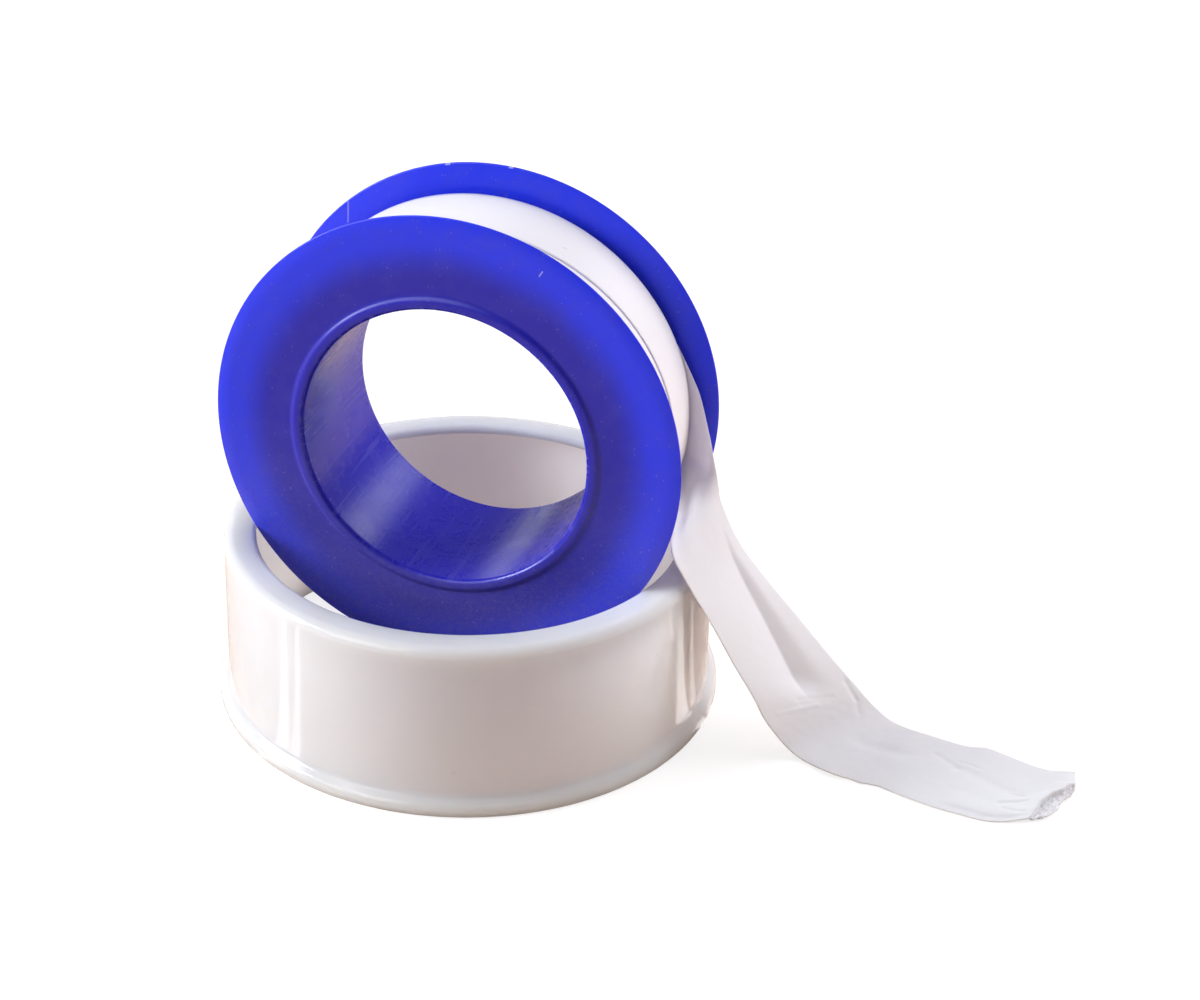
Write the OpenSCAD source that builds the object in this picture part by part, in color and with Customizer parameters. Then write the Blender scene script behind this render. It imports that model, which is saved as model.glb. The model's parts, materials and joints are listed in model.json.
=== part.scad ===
// Thread seal tape roll: a wound spool standing on edge in its own cover ring.
// Millimetres. The cover ring stands on Z = 0, the spool's axis lies along Y,
// and the spool's front flange faces -Y.

/* [Tape] */
// Width of the tape
tape_w = 12; // [8:0.5:20]
// Thickness of one layer of tape
tape_t = 0.1; // [0.06:0.01:0.16]
// Depth of the winding over the hub
winding_depth = 6; // [3:0.1:7]
// Free space on each side of the winding
tape_side_gap = 0.65; // [0.5:0.05:1.2]

/* [Spool] */
// Outer radius of the two flanges
flange_r = 24.6; // [23.6:0.1:30]
// Thickness of a flange
flange_t = 1.5; // [1.3:0.1:2.4]
// Radius of the bore through the hub
bore_r = 15; // [12:0.1:16]
// Wall of the hub
hub_wall = 1.2; // [1:0.1:1.6]
// Rounding of a flange's edge on its outer face
edge_round = 0.4; // [0.2:0.1:0.8]
// Width of the bead round each end of the bore, which rounds over into the bore
bead_w = 1.1; // [0.8:0.1:1.2]
// How far the bead stands up from the flange
bead_h = 0.3; // [0.1:0.05:0.5]

/* [Cover ring] */
// Free space between a flange and the cover's wall
cover_clearance = 0.2; // [0.1:0.05:0.6]
// Wall of the cover
cover_wall = 1.2; // [1:0.1:1.8]
// Thickness of the lip at the top
lip_t = 1.2; // [0.8:0.1:1.6]
// How far the lip reaches in past the wall
lip_reach = 2.4; // [2:0.1:3]
// Free height left when the spool is stored inside
end_play = 0.8; // [0.4:0.1:3]
// Rounding of the cover's outer top edge
top_round = 1.1; // [0.6:0.1:2.2]
// How much the wall draws in towards the top
cover_draft = 0.2; // [0:0.05:0.4]
// How far the foot band stands out at the base
foot_out = 1.1; // [0.5:0.1:1.4]
// Height of the foot band
foot_h = 1.8; // [1.5:0.1:3]
// Rounding of the foot band's edges
foot_round = 0.45; // [0.2:0.05:0.7]

/* [Seat] */
// Free space between a flange's edge and the lip that it stands on
seat_gap = 0.08; // [0.04:0.01:0.2]

/* [Hidden] */
$fn = 96;
// How far a cut runs past what it cuts
overrun = 1;
spool_colour = [0.16, 0.19, 0.75];
tape_colour = [0.95, 0.94, 0.96];
cover_colour = [0.90, 0.89, 0.88];

// Spool
flange_gap = tape_w + 2*tape_side_gap;
face_w = flange_gap + 2*flange_t;
spool_w = face_w + 2*bead_h;
hub_r = bore_r + hub_wall;
winding_r = hub_r + winding_depth;

// Cover ring
cover_inner_r = flange_r + cover_clearance;
cover_r = cover_inner_r + cover_wall;
cover_h = spool_w + end_play + lip_t;
lip_r = cover_inner_r - lip_reach;
lip_round = lip_t/2;

// Outer wrap: the last turn of the tape, from its start to its end in degrees
wrap_start = 310;
wrap_end = -45;
wrap_steps = 96;
// Free space under the start of the wrap, and how far the turn rises by its end
wrap_clearance = 0.04;
wrap_rise = 0.2;
core_r = winding_r - tape_t - wrap_rise - wrap_clearance;
// The wrap's front edge leaves the front of the winding here and drifts rearwards
drift_from = 175;
drift_share = 0.62;

// Tail: both edges of the free end, from its start in the gap behind the winding
// to its torn end on the table, as points chosen by hand
tail_rear_edge = [
    [16.4, 6.3, 46.2], [19, 6.3, 42.5], [20.8, 6.3, 39.1], [22, 6.3, 36.4],
    [23.1, 6.2, 34.2], [24.3, 6.05, 30], [24.7, 6, 28.2], [25, 6, 26.6],
    [25.4, 6, 24.5], [25.8, 6, 22.5], [27.8, 6, 18], [30.8, 6, 14.1],
    [34.2, 6, 10.5], [37.6, 5.6, 7], [40.6, 5.2, 4.2], [43.4, 4.8, 1.6],
    [46.6, 4.2, 0.4], [50, 3.6, 0.2], [54, 2.8, 0.2], [58, 2.4, 0.2],
    [62, 1.6, 0.2], [65.5, 1.4, 0.2]];
tail_front_edge = [
    [14.8, 6.3, 44.8], [17.3, 6.3, 41.5], [18.9, 6.3, 38.4], [19.8, 6.3, 35.8],
    [20.9, 6.3, 33.4], [22.3, 6.08, 30], [22.7, 0.8, 28.5], [23.1, -3.6, 26.6],
    [23.4, -5.8, 24.7], [23.6, -6, 22.6], [25.6, -6, 19.2], [28.2, -6, 15],
    [30.4, -6, 11.2], [32.8, -6, 7.6], [34.8, -5.6, 4.2], [37.4, -5, 1.6],
    [42, -6.4, 0.4], [46, -7, 0.2], [50.6, -8.2, 0.2], [54.8, -8.8, 0.2],
    [58.8, -9, 0.2], [62.6, -7.8, 0.2]];
// How deep the lengthwise fold lies below the line between the edges
tail_fold = 0.6;
tail_fold_from = 10;
tail_fold_to = 15;

// Height of the spool's axis, found so that its flanges stand on the lip.
// Each edge is a round tube along a circle, and the gap is measured between tubes.
flange_ring_r = flange_r - edge_round;
flange_ring_y = face_w/2 - edge_round;
lip_ring_r = lip_r + lip_round;
lip_ring_z = cover_h - lip_round;
function seat_clear(z) = min([for (a = [-90 : 0.25 : 0])
    norm([norm([flange_ring_r*cos(a), flange_ring_y]) - lip_ring_r, z + flange_ring_r*sin(a) - lip_ring_z])])
    - edge_round - lip_round;
function seat_height(low, high, tries) = let (mid = (low + high)/2)
    tries == 0 ? mid
    : seat_clear(mid) > seat_gap ? seat_height(low, mid, tries - 1)
    : seat_height(mid, high, tries - 1);
// At this height the two circles would meet, so the seat lies above it
meeting_z = lip_ring_z + sqrt(pow(flange_ring_r, 2) + pow(flange_ring_y, 2) - pow(lip_ring_r, 2));
axis_z = seat_height(meeting_z, meeting_z + flange_r, 30);

// A bar from a to b whose outer corners, on the far side in X, are rounded
module rounded_bar(inner_x, outer_x, low_y, high_y, round) {
    translate([inner_x, low_y])
        square([outer_x - round - inner_x, high_y - low_y]);
    translate([inner_x, low_y + round])
        square([outer_x - inner_x, high_y - low_y - 2*round]);
    for (y = [low_y + round, high_y - round])
        translate([outer_x - round, y])
            circle(r = round);
}

// Lays a shape turned about Z along the spool's axis, with +Z to the front
module on_spool_axis() {
    translate([0, 0, axis_z])
        rotate([90, 0, 0])
            children();
}

// What is cut away to round a corner at the origin, whose sides face +X and +Y
module corner_waste(round) {
    difference() {
        translate([-round, -round])
            square(round + overrun);
        translate([-round, -round])
            circle(r = round);
    }
}

// Half of the spool's section: the hub, one flange with a round edge, and its bead
module spool_half_section() {
    difference() {
        union() {
            translate([bore_r, 0])
                square([hub_wall, face_w/2]);
            translate([bore_r, flange_gap/2])
                square([flange_r - bore_r, flange_t]);
            translate([bore_r, flange_gap/2])
                square([bead_w, flange_t + bead_h]);
        }
        translate([flange_r, face_w/2])
            corner_waste(edge_round);
        translate([bore_r, spool_w/2])
            mirror([1, 0])
                corner_waste(bead_w);
    }
}

module spool() {
    color(spool_colour)
        on_spool_axis()
            rotate_extrude() {
                spool_half_section();
                mirror([0, 1])
                    spool_half_section();
            }
}

module tape_core() {
    color(tape_colour)
        on_spool_axis()
            rotate_extrude()
                translate([hub_r, -tape_w/2])
                    square([core_r - hub_r, tape_w]);
}

// The wrap's inner radius, and its front edge along the axis, at a share of the turn
function wrap_angle(i) = wrap_start + (wrap_end - wrap_start)*i/wrap_steps;
function wrap_radius(i) = core_r + wrap_clearance + wrap_rise*i/wrap_steps;
function wrap_front(i) = let (turned = max(0, drift_from - wrap_angle(i))/(drift_from - wrap_end))
    tape_w/2 - drift_share*tape_w*turned;
function wrap_point(i, r, z) = [r*cos(wrap_angle(i)), r*sin(wrap_angle(i)), z];
function wrap_corners(i) = let (inner = wrap_radius(i), outer = wrap_radius(i) + tape_t) [
    wrap_point(i, inner, wrap_front(i)), wrap_point(i, inner, -tape_w/2),
    wrap_point(i, outer, -tape_w/2), wrap_point(i, outer, wrap_front(i))];

// A closed strip through a row of sections. Each section runs along the strip's
// inner face and back along its outer face, so corner k lies under corner n - 1 - k.
// Both faces are split along the same diagonals, so that a twist can't make them cross.
module strip(sections) {
    n = len(sections[0]);
    last = (len(sections) - 1)*n;
    points = [for (section = sections) each section];
    sides = [for (i = [0 : n : last - n], k = [0 : n - 1])
        let (a = i + k, b = i + (k + 1) % n)
        each k < n/2 ? [[a, b, b + n], [a, b + n, a + n]] : [[a, b, a + n], [b, b + n, a + n]]];
    caps = [for (k = [0 : n/2 - 2])
        let (a = k, b = k + 1, c = n - 2 - k, d = n - 1 - k)
        each [[a, c, b], [a, d, c], [last + a, last + b, last + c], [last + a, last + c, last + d]]];
    polyhedron(points, concat(sides, caps));
}

module tape_outer_wrap() {
    color(tape_colour)
        on_spool_axis()
            strip([for (i = [0 : wrap_steps]) wrap_corners(i)]);
}

// The free end, with a lengthwise fold where it hangs
tail_count = len(tail_rear_edge);
tail_route = [for (i = [0 : tail_count - 1]) (tail_rear_edge[i] + tail_front_edge[i])/2];
function unit(v) = v/norm(v);
function tail_run(i) = unit(tail_route[min(i + 1, tail_count - 1)] - tail_route[max(i - 1, 0)]);
function tail_normal(i) = unit(cross(tail_run(i), tail_rear_edge[i] - tail_front_edge[i]));
function tail_middle(i) = tail_route[i]
    - (i >= tail_fold_from && i <= tail_fold_to ? tail_fold : 0)*tail_normal(i);
function tail_corners(i) = let (half = tail_normal(i)*tape_t/2) [
    tail_front_edge[i] - half, tail_middle(i) - half, tail_rear_edge[i] - half,
    tail_rear_edge[i] + half, tail_middle(i) + half, tail_front_edge[i] + half];

module tape_tail() {
    color(tape_colour)
        strip([for (i = [0 : tail_count - 1]) tail_corners(i)]);
}

// The cover's section: wall, rounded shoulder, lip with a round edge, foot band
module cover_section() {
    shoulder_r = cover_r - cover_draft;
    difference() {
        union() {
            polygon([[0, 0], [cover_r, 0], [shoulder_r, cover_h - top_round], [0, cover_h - top_round]]);
            square([shoulder_r - top_round, cover_h]);
            translate([shoulder_r - top_round, cover_h - top_round])
                circle(r = top_round);
            rounded_bar(0, cover_r + foot_out, 0, foot_h, foot_round);
        }
        translate([-overrun, -overrun])
            square([cover_inner_r + overrun, cover_h - lip_t + overrun]);
        translate([-overrun, -overrun])
            square([lip_ring_r + overrun, cover_h + 2*overrun]);
    }
    translate([lip_ring_r, lip_ring_z])
        circle(r = lip_round);
}

module cover_ring() {
    color(cover_colour)
        rotate_extrude()
            cover_section();
}

// The wrap's least gap to itself, over all points at least half a turn apart
wrap_gap = min([for (i = [0 : wrap_steps/2], k = [i + wrap_steps/2 : wrap_steps])
    norm(wrap_point(i, wrap_radius(i), 0) - wrap_point(k, wrap_radius(k), 0)) - tape_t]);
function tail_length(i) = i == 0 ? 0 : tail_length(i - 1) + norm(tail_route[i] - tail_route[i - 1]);
echo(axis_z = axis_z, seat = seat_clear(axis_z), wrap_gap = wrap_gap, tail_length = tail_length(tail_count - 1));

spool();
tape_core();
tape_outer_wrap();
tape_tail();
cover_ring();
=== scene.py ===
import json
import math

import bmesh
import bpy
from mathutils import Matrix, Quaternion, Vector, noise


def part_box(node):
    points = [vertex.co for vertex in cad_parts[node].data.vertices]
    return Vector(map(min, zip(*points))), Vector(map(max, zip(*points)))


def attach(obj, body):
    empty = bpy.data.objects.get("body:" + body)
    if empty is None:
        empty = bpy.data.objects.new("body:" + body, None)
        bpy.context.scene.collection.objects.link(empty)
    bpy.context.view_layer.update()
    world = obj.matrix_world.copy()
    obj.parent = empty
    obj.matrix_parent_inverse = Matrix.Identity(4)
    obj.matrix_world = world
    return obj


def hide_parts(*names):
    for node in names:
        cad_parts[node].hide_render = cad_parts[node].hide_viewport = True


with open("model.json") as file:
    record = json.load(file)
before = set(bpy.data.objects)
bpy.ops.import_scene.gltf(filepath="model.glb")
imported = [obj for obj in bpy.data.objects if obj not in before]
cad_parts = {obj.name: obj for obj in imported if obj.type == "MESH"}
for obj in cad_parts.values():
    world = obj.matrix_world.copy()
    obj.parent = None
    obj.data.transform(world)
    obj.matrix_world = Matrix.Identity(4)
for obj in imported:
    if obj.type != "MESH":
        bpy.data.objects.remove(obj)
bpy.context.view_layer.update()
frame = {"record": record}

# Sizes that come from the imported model
MM = 0.001
spool_low, spool_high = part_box("spool")
core_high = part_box("tape_core")[1]
cover_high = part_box("cover_ring")[1]
bore_mount = next(m for m in frame["record"]["mounts"] if m["name"] == "spool_bore")

AXIS_Z = (spool_low.z + spool_high.z)/2
FLANGE_R = spool_high.x
BEAD_Y = spool_high.y
BORE_R = bore_mount["dims"]["r_mm"]*MM
CORE_R = core_high.x
TAPE_HALF = core_high.y
FOOT_R = cover_high.x
COVER_H = cover_high.z

# Sizes that the model's boxes don't give, the same as in the part's source
TAPE_W, TAPE_T = 12*MM, 0.1*MM
HUB_WALL, FLANGE_T, BEAD_H = 1.2*MM, 1.5*MM, 0.3*MM
COVER_CLEARANCE, COVER_WALL, COVER_DRAFT = 0.2*MM, 1.2*MM, 0.2*MM
LIP_REACH, LIP_T = 2.4*MM, 1.2*MM
TOP_ROUND, FOOT_ROUND = 1.1*MM, 0.45*MM

# Camera, at the place and angle that the photograph was taken from
CAMERA_PLACE = Vector((0.068048, -0.195447, 0.134203))
CAMERA_AIM = Vector((0.012336, 0.006987, 0.02))
CAMERA_ROLL = math.radians(1.771)
camera = bpy.data.objects.new("camera", bpy.data.cameras.new("camera"))
camera.data.sensor_width = 36
camera.data.lens = 66.895
camera.data.clip_start = 0.005
camera.location = CAMERA_PLACE
camera.rotation_mode = "QUATERNION"
camera.rotation_quaternion = (
    (CAMERA_AIM - CAMERA_PLACE).to_track_quat("-Z", "Y")
    @ Quaternion((0, 0, 1), CAMERA_ROLL))
bpy.context.scene.collection.objects.link(camera)
bpy.context.scene.camera = camera


# Making pieces

ROUND_SEGMENTS = 256
MERGE_DISTANCE = 1e-7


def piece(name, bm):
    """Turns a bmesh into a smooth object whose place is in its mesh."""
    mesh = bpy.data.meshes.new(name)
    bm.to_mesh(mesh)
    bm.free()
    obj = bpy.data.objects.new(name, mesh)
    bpy.context.scene.collection.objects.link(obj)
    mesh.shade_smooth()
    return obj


def turned(name, corners, place):
    """A ring turned from a closed section. Each corner is radius, height along
    the axis, rounding and the number of steps in the rounding."""
    bm = bmesh.new()
    section = [bm.verts.new((r, 0, h)) for r, h, rounding, steps in corners]
    bm.faces.new(section)
    for vert, (r, h, rounding, steps) in zip(section, corners):
        if rounding:
            bmesh.ops.bevel(
                bm, geom=[vert], affect="VERTICES", offset=rounding,
                offset_type="OFFSET", segments=steps, profile=0.5, material=-1)
    bmesh.ops.delete(bm, geom=bm.faces[:], context="FACES_ONLY")
    bmesh.ops.spin(
        bm, geom=bm.verts[:] + bm.edges[:], cent=(0, 0, 0), axis=(0, 0, 1),
        dvec=(0, 0, 0), angle=2*math.pi, steps=ROUND_SEGMENTS, use_merge=True)
    bmesh.ops.remove_doubles(bm, verts=bm.verts[:], dist=MERGE_DISTANCE)
    bmesh.ops.recalc_face_normals(bm, faces=bm.faces[:])
    bmesh.ops.transform(bm, matrix=place, verts=bm.verts[:])
    obj = piece(name, bm)
    # Keeps flat faces flat beside a small rounding
    obj.modifiers.new("even shading", "WEIGHTED_NORMAL")
    return obj


def film(name, along, across, shape, thickness):
    """A strip of tape: a flat grid whose every point is moved to shape(u, v)."""
    bm = bmesh.new()
    bmesh.ops.create_grid(
        bm, x_segments=along, y_segments=across, size=0.5, calc_uvs=True)
    for vert in bm.verts:
        vert.co = shape(vert.co.x + 0.5, vert.co.y + 0.5)
    obj = piece(name, bm)
    solid = obj.modifiers.new("film thickness", "SOLIDIFY")
    solid.thickness = thickness
    solid.offset = 0
    return obj


def smooth_step(low, high, value):
    share = min(1, max(0, (value - low)/(high - low)))
    return share*share*(3 - 2*share)


def along_marks(marks, value):
    """A value that runs evenly from each mark to the next."""
    for (a, low), (b, high) in zip(marks, marks[1:]):
        if value <= b:
            return low + (high - low)*max(0, value - a)/(b - a)
    return marks[-1][1]


def curve_point(points, t):
    """A point on the smooth curve through points, t counted in points. Past the
    last point it runs on straight."""
    end = len(points) - 1
    if t >= end:
        return points[end] + (t - end)*(points[end] - points[end - 1])
    i = int(t)
    f = t - i
    before, a, b = points[max(i - 1, 0)], points[i], points[i + 1]
    after = points[min(i + 2, end)]
    return 0.5*(2*a + (b - before)*f + (2*before - 5*a + 4*b - after)*f*f
                + (3*a - before - 3*b + after)*f*f*f)


def ripple(x, y, seed):
    """A smooth uneven value about zero, the same in every run."""
    return noise.noise(Vector((x, y, seed)))


# The free end of the tape: both edges, from the gap behind the winding to the table
TAIL_REAR = [MM*Vector(p) for p in (
    (16.1, 6.3, 46), (18.65, 6.3, 42.3), (20.6, 6.3, 39), (21.95, 6.3, 36.4),
    (22.95, 6.2, 34.2), (24.15, 6.05, 30), (24.6, 6, 28.2), (24.95, 6, 26.6),
    (25.4, 6, 24.5), (25.9, 6, 22.4), (28.1, 6, 18), (31.25, 6, 14.2),
    (34.6, 6, 10.6), (38.1, 5.6, 7.1), (41.2, 5.2, 4.2), (43.95, 4.9, 1.65),
    (46.6, 4.3, 0.35), (50, 3.55, 0.15), (54, 2.75, 0.15), (57.9, 2.55, 0.15),
    (61.8, 1.4, 0.15), (65.5, 1.4, 0.15))]
TAIL_FRONT = [MM*Vector(p) for p in (
    (14.2, 6.3, 43.5), (16.4, 6.3, 40.2), (17.8, 6.3, 37.2), (19.2, 6.3, 34.8),
    (20.7, 6.3, 32.6), (21.5, 6.3, 29.3), (21.08, 6.35, 26), (21.55, 4.4, 23.85),
    (22.4, -0.9, 23.4), (23.5, -5.9, 22.6), (25.5, -6, 19.1), (28.2, -6, 14.9),
    (30.5, -6, 11), (32.8, -6, 7.4), (34.6, -5.7, 4), (37.6, -5.1, 0.5),
    (42, -7, 0.25), (46, -7.25, 0.15), (50.6, -8.6, 0.15), (54.8, -9.4, 0.15),
    (58.8, -9.6, 0.15), (62.6, -8.3, 0.15))]
TAIL_ROUTE = [(a + b)/2 for a, b in zip(TAIL_REAR, TAIL_FRONT)]
LAST = len(TAIL_ROUTE) - 1
# The first stretch stays tucked in the gap, so the free length starts one station on
FREE_FROM = 1
FREE_ROUTE = TAIL_ROUTE[FREE_FROM:]
TAIL_LENGTH = sum((b - a).length for a, b in zip(FREE_ROUTE, FREE_ROUTE[1:]))

# From here on, places along the tail are counted in stations, places across it are
# shares from the front edge to the rear one, and heights are in mm.

# Creases: where each starts and ends, along and across, its height and half width
CREASES = (
    (13.79, 0.41, 14.17, 0.72, -0.06, 0.25),
    (13.93, 0.4, 14.23, 0.68, -0.04, 0.22),
    (13.85, 0.14, 14.17, 0.55, 0.05, 0.2),
    (13.7, 0.99, 14.0, 0.95, -0.04, 0.3),
    (14.0, 0.94, 14.57, 0.9, -0.07, 0.3),
    (14.57, 0.9, 14.95, 0.82, -0.04, 0.3),
    (15.7, 0.55, 17.0, 0.53, -0.1, 1),
    (17.7, 0.71, 18.4, 0.57, -0.09, 0.4),
    (18.4, 0.57, 20.2, 0.43, -0.11, 0.75),
    (18.3, 0.67, 18.9, 0.64, -0.04, 0.2),
    (19.85, 0.25, 20.45, 0.33, -0.09, 0.18),
    (19.85, 0.3, 20.45, 0.38, 0.06, 0.18),
    (20.05, 0.19, 20.55, 0.13, -0.12, 0.22),
    (20.0, 0.43, 20.3, 0.42, -0.06, 0.16),
)
# Millimetres from one station to the next where the creases lie
STATION_STEP = 3.8
# Past this many half widths a crease no longer shows
CREASE_REACH = 3

# The lengthwise fold: where it deepens and fades out, where its valley and ridge run
# and how they drift, and how deep it gets
FOLD_IN = (9.3, 10.8)
FOLD_START = 10.4
FOLD_END, FOLD_END_SLANT, FOLD_END_ACROSS = 13.8, 1.2, 0.41
FOLD_FADE_LATE, FOLD_FADE_EARLY = 0.15, 0.9
VALLEY, VALLEY_DRIFT, VALLEY_POWER = 0.79, 0.078, 2.2
RIDGE, RIDGE_DRIFT, RIDGE_LEAST, RIDGE_SOFTNESS = 0.86, 0.035, 0.76, 0.08
FOLD_DEPTH, FOLD_GROWTH = 0.45, 0.22

# Fine pleats where the film leaves the roll
PLEATS_IN, PLEATS_OUT = (5, 7), (10.5, 8)
PLEAT_H, PLEAT_COUNT, PLEAT_CROWDING, PLEAT_SLANT = 0.07, 2.6, 0.7, 0.12

# Where it lies, the film is lifted off the table between its edges
LYING, LIFT_H, LIFT_POWER = (15.4, 17), 0.45, 0.8
LEAST_Z = 0.06*MM

# The front edge is doubled near the end
HEM_IN, HEM_OUT = (18.4, 19), (20.9, 20.3)
HEM_FRONT, HEM_BACK, HEM_H = (0.05, 0.1), (0.3, 0.12), 0.14

# The torn end: how many stations past the last one the film reaches across its
# width, and where its upper ply stops
END_REACH = (
    (0, 0.04), (0.06, 0.28), (0.15, 0.34), (0.2, 0.43), (0.31, 0.35), (0.42, 0.39),
    (0.54, 0.48), (0.7, 0.4), (0.85, 0.23), (1, 0.08))
PLY_REACH = (
    (0, -0.16), (0.12, -0.14), (0.3, -0.17), (0.44, 0), (0.54, 0.2), (0.69, 0.27),
    (0.76, 0.5))
# The ply ends in a raised lip, with a thin crinkled fringe below it
TORN, TORN_LIP_H, TORN_LIP_RUN, TORN_STEP = (0.76, 0.66), 0.32, 0.6, 0.06
FRINGE_H, FRINGE_CRINKLE = 0.12, 0.4
# Its edge is ragged but for the rear part
RAGGED, TEETH, FINE_TEETH = (0.8, 0.6), 0.04, 0.03

# How far each edge wanders out of its smooth run
REAR_WANDER = (
    (15.5, 0), (17.2, -0.1), (18.1, -0.12), (18.6, 0.32), (19.0, 0), (20.4, -0.3),
    (21, 0.05))
FRONT_WANDER = (
    (15.2, 0), (16.4, 0.15), (16.75, -0.25), (17.2, 0.1), (18, 0), (19.5, -0.1),
    (21, 0))

# The film is uneven all over, and more so where it lies loose
TIGHT_H, LOOSE_H, LOOSE_IN, FINE_H = 0.02, 0.09, (13, 18), 0.015

# The grid is finer towards the end
TAIL_ALONG, TAIL_ACROSS, TAIL_CROWDING = 460, 80, 1.25
# Half the stretch that the film's direction is taken over
RUN_STEP = 0.05


def on_flat(s, v):
    """A place on the tail as if it were laid flat, in mm."""
    return Vector((s*STATION_STEP, v*TAPE_W/MM))


def crease_height(s, v):
    total = 0
    p = on_flat(s, v)
    for s0, v0, s1, v1, height, half in CREASES:
        a, b = on_flat(s0, v0), on_flat(s1, v1)
        share = max(0, min(1, (p - a).dot(b - a)/(b - a).length_squared))
        gap = (p - a - share*(b - a)).length
        if gap < CREASE_REACH*half:
            total += height*math.exp(-(gap/half)**2)
    return total


def fold_depth(s, v):
    """The lengthwise fold: a face that rises from a valley to a ridge near the rear
    edge and looks to the front."""
    valley = VALLEY - VALLEY_DRIFT*(s - FOLD_START)
    ridge = max(RIDGE_LEAST, RIDGE - RIDGE_DRIFT*(s - FOLD_START))
    end = FOLD_END + FOLD_END_SLANT*(v - FOLD_END_ACROSS)
    share = smooth_step(*FOLD_IN, s)*smooth_step(
        end + FOLD_FADE_LATE, end - FOLD_FADE_EARLY, s)
    if v < valley:
        dip = (v/valley)**VALLEY_POWER
    else:
        rest = 1 - (v - valley)/(ridge - valley)
        dip = (rest + math.sqrt(rest*rest + RIDGE_SOFTNESS))/2
    return share*(FOLD_DEPTH + FOLD_GROWTH*max(0, s - FOLD_START))*dip


def tail_height(s, v):
    """How far the film stands off the plane between its edges."""
    pleats = smooth_step(*PLEATS_OUT, s)*smooth_step(*PLEATS_IN, s)
    height = PLEAT_H*pleats*math.sin(
        2*math.pi*(PLEAT_COUNT*v**PLEAT_CROWDING + PLEAT_SLANT*s))
    height -= fold_depth(s, v)
    height += LIFT_H*smooth_step(*LYING, s)*math.sin(math.pi*v)**LIFT_POWER
    hem = smooth_step(*HEM_IN, s)*smooth_step(*HEM_OUT, s)
    height += HEM_H*hem*smooth_step(*HEM_FRONT, v)*smooth_step(*HEM_BACK, v)
    ply = LAST + along_marks(PLY_REACH, v)
    torn = smooth_step(*TORN, v)
    height += TORN_LIP_H*torn*smooth_step(ply - TORN_LIP_RUN, ply, s)
    under = torn*smooth_step(ply, ply + TORN_STEP, s)
    fringe = FRINGE_H + FRINGE_CRINKLE*abs(ripple(s*14, v*26, seed=5.1))
    height += under*(fringe - height)
    height += crease_height(s, v)
    loose = TIGHT_H + LOOSE_H*smooth_step(*LOOSE_IN, s)
    height += loose*ripple(s*1.3, v*3, seed=2.7)
    height += FINE_H*ripple(s*5, v*11, seed=8.2)
    return height


def tail_point(u, v):
    reach = along_marks(END_REACH, v) + smooth_step(*RAGGED, v)*(
        TEETH*ripple(v*34, 0.3, seed=1.9) + FINE_TEETH*ripple(v*80, 0.7, seed=4.4))
    s = FREE_FROM + (LAST + reach - FREE_FROM)*(1 - (1 - u)**TAIL_CROWDING)
    front, rear = curve_point(TAIL_FRONT, s), curve_point(TAIL_REAR, s)
    side = (rear - front).normalized()
    front = front + MM*along_marks(FRONT_WANDER, s)*side
    rear = rear + MM*along_marks(REAR_WANDER, s)*side
    here = front.lerp(rear, v)
    ahead, behind = s + RUN_STEP, s - RUN_STEP
    run = (curve_point(TAIL_FRONT, ahead).lerp(curve_point(TAIL_REAR, ahead), v)
           - curve_point(TAIL_FRONT, behind).lerp(curve_point(TAIL_REAR, behind), v))
    normal = run.cross(rear - front).normalized()
    point = here + MM*tail_height(s, v)*normal
    point.z = max(point.z, LEAST_Z)
    return point


tail = film("tape_free_end", TAIL_ALONG, TAIL_ACROSS, tail_point, TAPE_T)
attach(tail, "tape_end")
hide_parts("tape_tail")
FREE_ROUTE[0]

# Where the spool's own axis lies: the turned shape's Z goes to the front, -Y
ON_SPOOL = Matrix.Translation((0, 0, AXIS_Z)) @ Matrix.Rotation(math.pi/2, 4, "X")

# Spool: hub, two flanges that thin out to the edge, and a bead round each end of the bore
HUB_R = BORE_R + HUB_WALL
FACE_Y = BEAD_Y - BEAD_H
INNER_Y = FACE_Y - FLANGE_T
# How far the edge's two sides lie behind the face, and how wide the slope to it is
EDGE_INNER, EDGE_OUTER, EDGE_SLOPE = 0.45*MM, 0.16*MM, 1.1*MM
# Width of the bead at its top and at its foot
BEAD_TOP_W, BEAD_FOOT_W = 1.02*MM, 1.45*MM
spool_half = [
    (HUB_R, INNER_Y, 0.3*MM, 4),
    (FLANGE_R, FACE_Y - EDGE_INNER, 0.12*MM, 4),
    (FLANGE_R, FACE_Y - EDGE_OUTER, 0.1*MM, 4),
    (FLANGE_R - EDGE_SLOPE, FACE_Y, 0.3*MM, 5),
    (BORE_R + BEAD_FOOT_W, FACE_Y, 0.2*MM, 5),
    (BORE_R + BEAD_TOP_W, BEAD_Y, 0.2*MM, 5),
    (BORE_R, BEAD_Y, 0.5*MM, 10),
]
other_half = [(r, -h, rounding, steps) for r, h, rounding, steps in reversed(spool_half)]
spool = turned("spool_moulding", spool_half + other_half, ON_SPOOL)
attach(spool, "roll")
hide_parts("spool")

# Winding under the last turn
WINDING_IN = HUB_R + 0.02*MM
WINDING_ROUND = 0.12*MM
winding = turned("winding", [
    (WINDING_IN, -TAPE_HALF, 0, 1),
    (CORE_R, -TAPE_HALF, WINDING_ROUND, 4),
    (CORE_R, TAPE_HALF, WINDING_ROUND, 4),
    (WINDING_IN, TAPE_HALF, 0, 1)], ON_SPOOL)
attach(winding, "roll")
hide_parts("tape_core")

# Last turn of the tape, which drifts to the rear as it goes round
WRAP_START, WRAP_END = math.radians(310), math.radians(-45)
DRIFT_FROM = math.radians(175)
DRIFT_SHARE = 0.62
WRAP_CLEARANCE = 0.008*MM
WRAP_RISE = 0.012*MM
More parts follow.
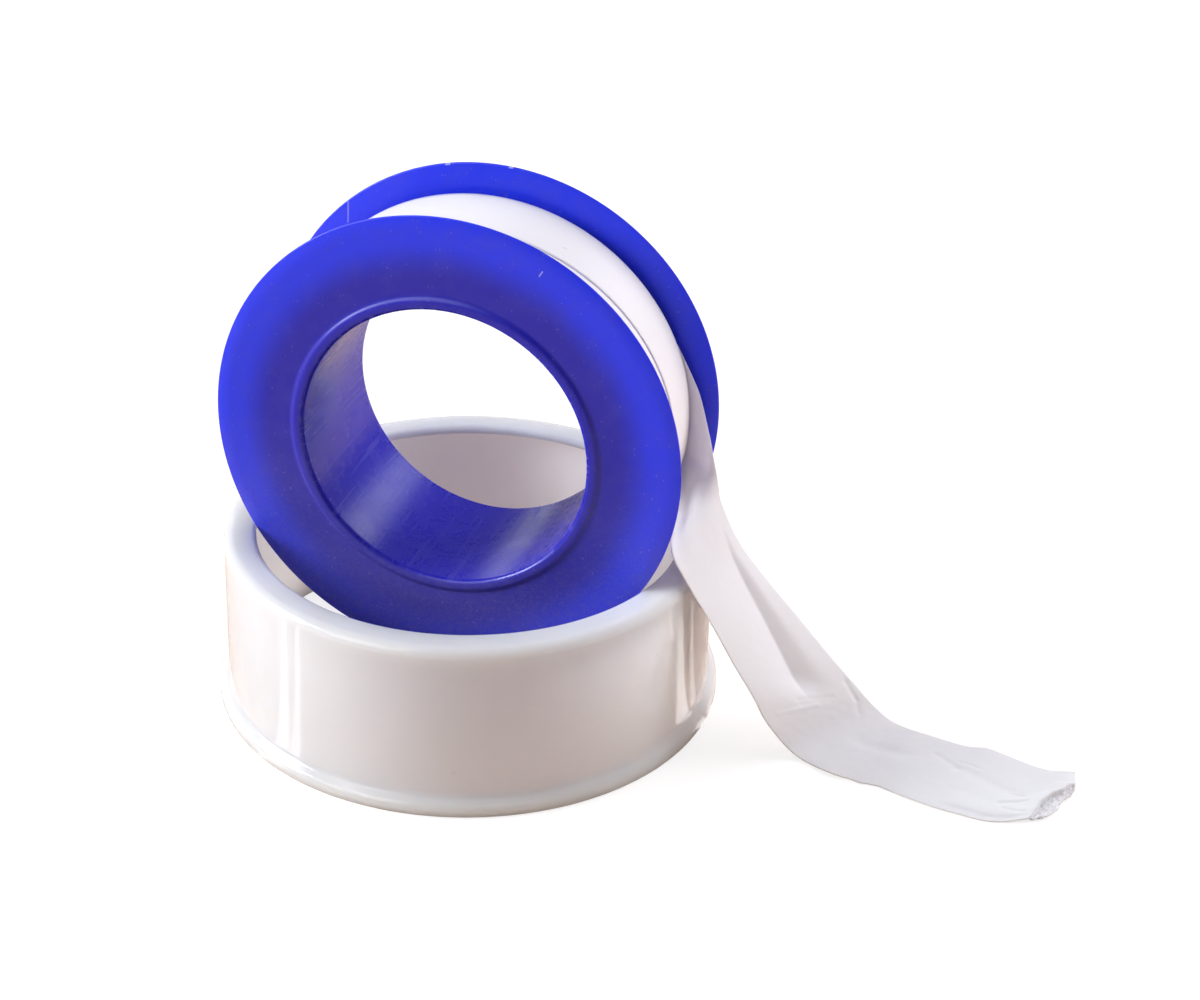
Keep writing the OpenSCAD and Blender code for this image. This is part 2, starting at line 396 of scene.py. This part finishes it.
# It is pulled tight, so it is thinner than the free end
WRAP_T = 0.6*TAPE_T
WRAP_ALONG, WRAP_ACROSS = 360, 16


def wrap_point(u, v):
    angle = WRAP_START + (WRAP_END - WRAP_START)*u
    drift = max(0, DRIFT_FROM - angle)/(DRIFT_FROM - WRAP_END)
    front = -TAPE_HALF + DRIFT_SHARE*2*TAPE_HALF*drift
    radius = CORE_R + WRAP_CLEARANCE + WRAP_RISE*u + WRAP_T/2
    y = front + (TAPE_HALF - front)*v
    return Vector((radius*math.cos(angle), y, AXIS_Z + radius*math.sin(angle)))


last_turn = film("last_turn", WRAP_ALONG, WRAP_ACROSS, wrap_point, WRAP_T)
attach(last_turn, "roll")
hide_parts("tape_outer_wrap")

# Cover ring: wall, rounded shoulder, lip with a round edge, foot band
COVER_IN = FLANGE_R + COVER_CLEARANCE
COVER_R = COVER_IN + COVER_WALL
LIP_R = COVER_IN - LIP_REACH
LIP_Z = COVER_H - LIP_T
LIP_ROUND = 0.58*MM
# The foot band's side ends here, and its sloped top meets the wall here
FOOT_SIDE_H, FOOT_TOP_H, FOOT_TOP_OUT = 1.15*MM, 2*MM, 0.04*MM
cover = turned("cover_moulding", [
    (COVER_IN, 0, 0.2*MM, 4),
    (FOOT_R, 0, FOOT_ROUND, 8),
    (FOOT_R, FOOT_SIDE_H, 0.5*MM, 8),
    (COVER_R + FOOT_TOP_OUT, FOOT_TOP_H, 0.4*MM, 6),
    (COVER_R - COVER_DRAFT, COVER_H, TOP_ROUND, 12),
    (LIP_R, COVER_H, LIP_ROUND, 8),
    (LIP_R, LIP_Z, LIP_ROUND, 8),
    (COVER_IN, LIP_Z, 0.3*MM, 4)], Matrix.Identity(4))
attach(cover, "cover")
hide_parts("cover_ring")


# Finishes

# A speck is full within this share of its size, and a mark within this share of its half
SPECK_CORE, MARK_CORE = 0.5, 0.3
# How sharply cells with a speck are told from cells without
CHOICE_EDGE = 0.02


class Wire:
    """A value in a finish's node tree, with Python's own arithmetic."""

    def __init__(self, finish, node, socket):
        self.finish, self.node, self.socket = finish, node, socket

    def __getitem__(self, output):
        return Wire(self.finish, self.node, find(self.node.outputs, output))

    def maths(self, operation, *values, clamp=False):
        return self.finish.node("Math", {"operation": operation, "use_clamp": clamp},
                                dict(enumerate(values)))

    def __add__(self, other):
        return self.maths("ADD", self, other)

    def __radd__(self, other):
        return self.maths("ADD", other, self)

    def __sub__(self, other):
        return self.maths("SUBTRACT", self, other)

    def __rsub__(self, other):
        return self.maths("SUBTRACT", other, self)

    def __mul__(self, other):
        return self.maths("MULTIPLY", self, other)

    def __rmul__(self, other):
        return self.maths("MULTIPLY", other, self)

    def __truediv__(self, other):
        return self.maths("DIVIDE", self, other)

    def root(self):
        return self.maths("SQRT", self)

    def between(self, low, high):
        """0 up to low, 1 from high, and a smooth rise from one to the other."""
        return self.finish.node(
            "MapRange", {"interpolation_type": "SMOOTHSTEP"},
            {"Value": self, "From Min": low, "From Max": high})


def find(sockets, key):
    if isinstance(key, int):
        return sockets[key]
    return next(s for s in sockets if key in (s.identifier, s.name))


class Finish:
    """The node tree of a material or of the world."""

    def __init__(self, owner):
        self.owner = owner
        owner.use_nodes = True
        self.tree = owner.node_tree
        nodes = self.tree.nodes
        self.shader = next((n for n in nodes if n.type == "BSDF_PRINCIPLED"), None)
        output = next(n for n in nodes if n.type.startswith("OUTPUT"))
        self.surface = output.inputs["Surface"]
        self.place = self.node("TexCoord", {}, {})

    def node(self, kind, settings, inputs):
        made = self.tree.nodes.new("ShaderNode" + kind)
        for name, value in settings.items():
            setattr(made, name, value)
        for key, value in inputs.items():
            self.plug(find(made.inputs, key), value)
        return Wire(self, made, made.outputs[0])

    def plug(self, socket, value):
        if isinstance(value, Wire):
            self.tree.links.new(value.socket, socket)
        else:
            socket.default_value = value

    def set(self, **values):
        for name, value in values.items():
            self.plug(self.shader.inputs[name.replace("_", " ")], value)

    def point(self, move=(0, 0, 0), scale=(1, 1, 1), source="Object"):
        return self.node("Mapping", {}, {
            "Vector": self.place[source], "Location": move, "Scale": scale})

    def xyz(self, vector):
        return self.node("SeparateXYZ", {}, {0: vector})

    def joined(self, x=0.0, y=0.0):
        return self.node("CombineXYZ", {}, {"X": x, "Y": y})

    def grain(self, vector, scale, detail, roughness=0.5):
        return self.node("TexNoise", {}, {
            "Vector": vector, "Scale": scale, "Detail": detail, "Roughness": roughness})

    def specks(self, vector, scale, size, share):
        """Round specks of one size, in the given share of all cells."""
        cell = self.node("TexVoronoi", {}, {"Vector": vector, "Scale": scale})
        pick = self.xyz(cell["Color"])["X"]
        chosen = pick.between(1 - share, 1 - share + CHOICE_EDGE)
        return cell["Distance"].between(size, SPECK_CORE*size)*chosen

    def mark(self, x, y, start, end, half):
        """A short thin mark between two points of a plane, in mm."""
        dx, dy = end[0] - start[0], end[1] - start[1]
        x, y = x/MM - start[0], y/MM - start[1]
        reach = x*dx + y*dy
        along = reach.maths("DIVIDE", reach, dx*dx + dy*dy, clamp=True)
        x, y = x - along*dx, y - along*dy
        return (x*x + y*y).root().between(half, MARK_CORE*half)

    def blend(self, share, a, b):
        return self.node("Mix", {"data_type": "RGBA"}, {
            "Factor_Float": share, "A_Color": a, "B_Color": b})["Result_Color"]

    def bump(self, height, distance):
        return self.node("Bump", {}, {"Height": height, "Distance": distance})


def rgb(red, green, blue):
    """A colour as a screen shows it, from 0 to 255, as the shader needs it."""
    def linear(c):
        c /= 255
        return c/12.92 if c <= 0.04045 else ((c + 0.055)/1.055)**2.4
    return (linear(red), linear(green), linear(blue), 1)


# On the spool: the radii where the flange's painted glow starts and is full, the radii
# that tell the bore's wall from the faces, and the heights where dust starts and is full
PAINTED_GLOW_RADII = (18.2*MM, 22.2*MM)
BORE_WALL_RADII = (15.5*MM, 15.2*MM)
DUST_HEIGHTS = (4*MM, -22*MM)


def blue_moulding():
    f = Finish(bpy.data.materials.new("blue_moulding"))
    p = f.point(move=(0, 0, -AXIS_Z))
    at = f.xyz(p)
    radius = (at["X"]*at["X"] + at["Z"]*at["Z"]).root()
    # Painted glow: the flange's colour is painted brighter where light would come through
    # it, where no winding lies behind it
    cloud = f.grain(p, scale=130, detail=3)
    glow = (radius + (cloud - 0.5)*1.4*MM).between(*PAINTED_GLOW_RADII)
    base = f.blend(glow, rgb(24, 22, 176), rgb(24, 50, 238))
    # The rear flange is a little duller
    rear = at["Y"].between(0, INNER_Y)
    base = f.blend(0.2*rear, base, rgb(58, 72, 190))
    in_bore = radius.between(*BORE_WALL_RADII)
    base = f.blend(in_bore, base, rgb(30, 26, 176))
    patches = f.grain(p, scale=420, detail=4)
    base = f.blend(0.14*patches.between(0.45, 0.75), base, rgb(78, 74, 188))
    # Fine dust, thicker on the lower half
    low = at["Z"].between(*DUST_HEIGHTS)
    powder = f.grain(p, scale=3600, detail=3, roughness=0.65).between(0.4, 0.7)
    haze = (0.6 + 0.4*powder)*low*(1 - 0.8*in_bore)
    base = f.blend(0.5*haze, base, rgb(116, 108, 168))
    # Specks, a little out of round
    shift = f.node("VectorMath", {"operation": "SCALE"}, {
        0: f.grain(p, scale=3000, detail=2)["Color"], "Scale": 0.3*MM})
    shifted = f.node("VectorMath", {"operation": "ADD"}, {0: p, 1: shift})
    coarse = f.specks(shifted, scale=800, size=0.12, share=0.1)
    fine = f.specks(shifted, scale=2600, size=0.3, share=0.14)
    dust = (0.5*coarse + fine*patches.between(0.4, 0.6))*(0.4 + 0.6*low)
    base = f.blend(0.34*dust, base, rgb(176, 176, 232))
    # Nicks: one on the front face and two on the rear edge
    front = at["Y"].between(-FACE_Y + 0.1*MM, -FACE_Y)
    nicks = front*f.mark(at["X"], at["Z"], (9.85, 20.1), (10.15, 20.6), half=0.09)
    nicks += rear*f.mark(at["X"], at["Z"], (-5.2, 23.95), (-4.8, 24.05), half=0.14)
    nicks += rear*f.mark(at["X"], at["Z"], (1.6, 24.5), (1.9, 24.5), half=0.14)
    # A mould line on the rear flange
    nicks += 0.5*rear*f.mark(at["X"], at["Z"], (-16, 16.3), (-16, 18.5), half=0.12)
    base = f.blend(0.7*nicks, base, rgb(196, 198, 240))
    # Fine scratches along the bore
    turn = at["X"].maths("ARCTAN2", at["Z"], at["X"])
    lines = f.grain(f.joined(turn*BORE_R, at["Y"]*0.04), scale=1700, detail=3)
    scratches = in_bore*lines.between(0.56, 0.7)
    base = f.blend(0.2*scratches, base, rgb(120, 118, 206))
    worn = 0.12*patches + 0.25*haze + 0.2*dust + 0.12*scratches
    uneven = f.grain(p, scale=2600, detail=2) + 0.5*patches - 0.6*scratches
    f.set(Base_Color=base, Roughness=0.27 + worn - 0.08*in_bore,
          Normal=f.bump(uneven, 0.005*MM),
          Subsurface_Weight=0.3, Subsurface_Radius=(0.1, 0.15, 1),
          Subsurface_Scale=1.5*MM)
    return f.owner


def white_moulding():
    f = Finish(bpy.data.materials.new("white_moulding"))
    p = f.point()
    flow = f.grain(f.point(scale=(1, 1, 0.2)), scale=160, detail=3)
    smudge = f.grain(p, scale=300, detail=3).between(0.4, 0.8)
    specks = f.specks(p, scale=420, size=0.14, share=0.1)
    base = f.blend(flow, rgb(236, 232, 233), rgb(243, 240, 241))
    base = f.blend(0.12*specks, base, rgb(196, 188, 184))
    f.set(Base_Color=base, Roughness=0.08 + 0.08*smudge,
          Normal=f.bump(f.grain(p, scale=500, detail=2), 0.004*MM),
          Subsurface_Weight=1.0, Subsurface_Radius=(1, 0.92, 0.85),
          Subsurface_Scale=4.5*MM)
    return f.owner


def wound_tape():
    f = Finish(bpy.data.materials.new("wound_tape"))
    at = f.xyz(f.point(move=(0, 0, -AXIS_Z)))
    radius = (at["X"]*at["X"] + at["Z"]*at["Z"]).root()
    layers = f.grain(f.joined(radius, at["Y"]*0.02), scale=6000, detail=1)
    streaks = f.grain(f.joined(at["Y"]), scale=1800, detail=2)
    base = f.blend(0.5*layers + 0.5*streaks, rgb(240, 236, 241), rgb(249, 246, 250))
    # One grey fleck near the top
    upper = at["Z"].between(0, CORE_R)
    fleck = upper*f.mark(at["X"], at["Y"], (9.6, 0.42), (9.92, 0.54), half=0.1)
    base = f.blend(0.3*fleck, base, rgb(140, 130, 140))
    f.set(Base_Color=base, Roughness=0.45 + 0.15*streaks,
          Normal=f.bump(layers + 0.4*streaks, 0.02*MM))
    return f.owner


def loose_tape():
    f = Finish(bpy.data.materials.new("loose_tape"))
    real_size = f.point(source="UV", scale=(TAIL_LENGTH, TAPE_W, 1))
    streaks = f.grain(f.point(source="UV", scale=(3, 60, 1)), scale=1, detail=3)
    mottle = f.grain(real_size, scale=600, detail=3)
    base = f.blend(0.6*streaks + 0.4*mottle, rgb(235, 231, 238), rgb(247, 244, 250))
    f.set(Base_Color=base, Roughness=0.42 + 0.2*mottle,
          Normal=f.bump(streaks + 0.5*mottle, 0.02*MM),
          Subsurface_Weight=0.5, Subsurface_Radius=(1, 0.95, 0.95),
          Subsurface_Scale=0.3*MM)
    return f.owner


spool.data.materials.append(blue_moulding())
tape_finish = wound_tape()
winding.data.materials.append(tape_finish)
last_turn.data.materials.append(tape_finish)
tail.data.materials.append(loose_tape())
cover.data.materials.append(white_moulding())


# Floor, light and background

LAMP_AIM = Vector((0, 0, 0.03))
LAMP_DISTANCE = 0.9
WHITE = (1, 1, 1)
DAYLIGHT = (0.96, 0.97, 1)
# Height of the gleams over the table, in mm
GLEAM_Z = 0.3


def area_lamp(name, width, height, colour, place, aim):
    lamp = bpy.data.lights.new(name, "AREA")
    lamp.shape = "RECTANGLE"
    lamp.size, lamp.size_y = width, height
    lamp.color = colour
    obj = bpy.data.objects.new(name, lamp)
    obj.location = place
    obj.rotation_mode = "QUATERNION"
    obj.rotation_quaternion = (aim - place).to_track_quat("-Z", "Y")
    obj.visible_camera = False
    bpy.context.scene.collection.objects.link(obj)
    return obj


def gloss_only(obj):
    """Lets a lamp show as a reflection and light nothing else."""
    obj.visible_diffuse = False
    obj.visible_transmission = False


def softbox(name, azimuth, elevation, width, height, level, colour):
    """A soft lamp that lights a surface facing it to the given level of white."""
    a, e = math.radians(azimuth), math.radians(elevation)
    place = LAMP_AIM + LAMP_DISTANCE*Vector((
        math.sin(a)*math.cos(e), -math.cos(a)*math.cos(e), math.sin(e)))
    obj = area_lamp(name, width, height, colour, place, LAMP_AIM)
    obj.data.energy = level*(math.pi*LAMP_DISTANCE)**2
    return obj


def gleam(name, near, far, width, level):
    """A strip that lies on the table and shows only as a reflection in gloss."""
    near, far = Vector((*near, GLEAM_Z))*MM, Vector((*far, GLEAM_Z))*MM
    length = (far - near).length
    middle = (near + far)/2
    up = Vector((0, 0, 1))
    obj = area_lamp(name, length, width*MM, WHITE, middle, middle + up)
    across = (far - near).normalized()
    turn = Matrix((across, across.cross(up), -up)).transposed()
    obj.rotation_quaternion = turn.to_quaternion()
    obj.data.energy = level*math.pi*length*width*MM
    gloss_only(obj)


# Lamps: azimuth and elevation in degrees, width and height in metres, level, colour
softbox("left_window", -72, 24, 0.4, 0.4, 1.2, (0.9, 0.95, 1))
softbox("front_fill", -30, 35, 0.5, 0.5, 0.29, (1, 1, 0.97))
# These light the part but aren't mirrored in it
for lamp in (
        softbox("top_fill", 20, 88, 0.8, 0.8, 0.1, WHITE),
        softbox("right_window", 145, 22, 0.4, 0.4, 0.5, DAYLIGHT),
        softbox("right_high_window", 128, 40, 0.4, 0.4, 0.35, DAYLIGHT),
        softbox("right_side_window", 110, 22, 0.4, 0.4, 0.27, DAYLIGHT)):
    lamp.visible_glossy = False
# These are only mirrored in it
gloss_only(softbox("bore_glare", 153, 24, 0.22, 0.25, 0.06, DAYLIGHT))
gloss_only(softbox("bore_edge_glare", -148, 10, 0.12, 0.25, 0.016, DAYLIGHT))
# Gleams: both ends on the table and the width in mm, then the level
gleam("left_gleam", (-14.5, -23.3), (-43.9, -31.4), 2, 2.2)
gleam("left_gleam_narrow", (-13, -24.6), (-39.6, -36.7), 1.6, 2.2)
gleam("right_gleam", (27.0, -3.2), (43.3, 12.8), 2.6, 2)
gleam("right_gleam_narrow", (26.7, -0.2), (39.6, 19.2), 1.4, 0.9)

# The camera sees white all round, where other rays meet a plain room and a warm table
ROOM_LEVEL, ROOM_GLOSS_LEVEL = 0.04, 0.18
ROOM_COLOUR = (1, 0.92, 0.88, 1)
TABLE_COLOUR = (0.77, 0.59, 0.46, 1)
PLAIN_WHITE = (*WHITE, 1)
# The floor that the camera sees: a glow, and a grey that only the shadow darkens
FLOOR_GLOW = 0.74
FLOOR_GREY = (0.36, 0.35, 0.35, 1)
FLOOR_R = 1.5


def studio_background():
    f = Finish(bpy.data.worlds.new("studio"))
    rays = f.node("LightPath", {}, {})
    level = ROOM_LEVEL + ROOM_GLOSS_LEVEL*rays["Is Glossy Ray"]
    room = f.node("Background", {}, {"Color": ROOM_COLOUR, "Strength": level})
    white = f.node("Background", {}, {"Color": PLAIN_WHITE, "Strength": 1.0})
    f.plug(f.surface, f.node("MixShader", {}, {
        0: rays["Is Camera Ray"], 1: room, 2: white}))
    return f.owner


def pale_floor():
    f = Finish(bpy.data.materials.new("pale_floor"))
    f.tree.nodes.remove(f.shader)
    rays = f.node("LightPath", {}, {})
    table = f.node("BsdfDiffuse", {}, {"Color": TABLE_COLOUR})
    shade = f.node("BsdfDiffuse", {}, {"Color": FLOOR_GREY})
    glow = f.node("Emission", {}, {"Color": PLAIN_WHITE, "Strength": FLOOR_GLOW})
    shown = f.node("AddShader", {}, {0: glow, 1: shade})
    f.plug(f.surface, f.node("MixShader", {}, {
        0: rays["Is Camera Ray"], 1: table, 2: shown}))
    return f.owner


bpy.context.scene.world = studio_background()
disc = bmesh.new()
bmesh.ops.create_circle(disc, cap_ends=True, segments=64, radius=FLOOR_R)
floor = piece("floor", disc)
floor.data.materials.append(pale_floor())

bpy.context.scene.view_settings.view_transform = "Standard"
